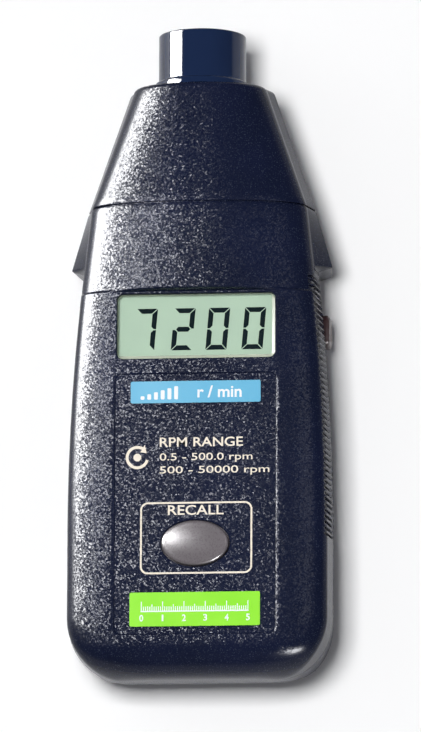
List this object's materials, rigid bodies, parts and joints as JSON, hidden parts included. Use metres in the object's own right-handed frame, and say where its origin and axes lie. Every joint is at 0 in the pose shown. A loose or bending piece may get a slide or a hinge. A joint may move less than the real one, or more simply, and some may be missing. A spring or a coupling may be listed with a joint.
{
  "type": "hand-held tachometer",
  "caption": "Hand-held light-beam tachometer: tapered head with a round nose, hooded digital display, ribbed grip, oval memory button, side measuring button and sliding battery cover.",
  "frame": {"origin": "centre of the flat back, on the plane that it rests on", "axes": "+X to the right, +Y from the foot to the nose, +Z out of the front face"},
  "size_m": [0.075, 0.1848, 0.0365],
  "materials": {
    "case_front": "spark-eroded dark navy moulded plastic",
    "case_rear": "spark-eroded dark moulded plastic",
    "case_head": "spark-eroded dark navy moulded plastic",
    "cover": "spark-eroded dark moulded plastic",
    "nose": "polished dark navy plastic",
    "black_plastic": "plain moulded black plastic",
    "lens": "polished clear lens",
    "emitter": "clear red cast resin",
    "board": "green coated board",
    "bare_metal": "plated sheet metal",
    "window": "clear moulded window",
    "display": "pale green display glass",
    "strip_rubber": "layered rubber strip",
    "label_blue": "printed film",
    "label_green": "printed film",
    "memory_key": "satin grey plastic",
    "measure_key": "satin dark red plastic",
    "cell": "printed can",
    "screw_steel": "zinc plated"
  },
  "bodies": {
    "body": {"front_case": "case_front", "rear_case": "case_rear", "head_shell": "case_head", "nose_tube": "nose", "lens_ring": "black_plastic", "lens": "lens", "optics_holder": "black_plastic", "emitter": "emitter", "photo_sensor": "black_plastic", "sensor_board": "board", "main_board": "board", "main_chip": "black_plastic", "crystal": "bare_metal", "lcd_window": "window", "lcd_panel": "display", "lcd_frame": "black_plastic", "zebra_strips": "strip_rubber", "upper_label": "label_blue", "lower_label": "label_green", "memory_switch": "black_plastic", "measure_switch": "black_plastic", "battery_1": "cell", "battery_2": "cell", "battery_3": "cell", "battery_4": "cell", "foot_contact_1": "bare_metal", "foot_contact_2": "bare_metal", "top_contact_1": "bare_metal", "top_contact_2": "bare_metal", "top_contact_3": "bare_metal", "case_screws": "screw_steel", "board_screws": "screw_steel"},
    "memory_key": {"memory_button": "memory_key"},
    "measure_key": {"measure_button": "measure_key"},
    "cover": {"battery_cover": "cover"}
  },
  "joints": [
    {"name": "memory_press", "type": "slide", "parent": "body", "child": "memory_key", "axis": [0, 0, -1], "range_m": [0, 0.0008], "stiffness_N_per_m": 2500},
    {"name": "measure_press", "type": "slide", "parent": "body", "child": "measure_key", "axis": [-1, 0, 0], "range_m": [0, 0.0012], "stiffness_N_per_m": 2500},
    {"name": "cover_slide", "type": "slide", "parent": "body", "child": "cover", "axis": [0, -1, 0], "range_m": [0, 0.064]}
  ]
}
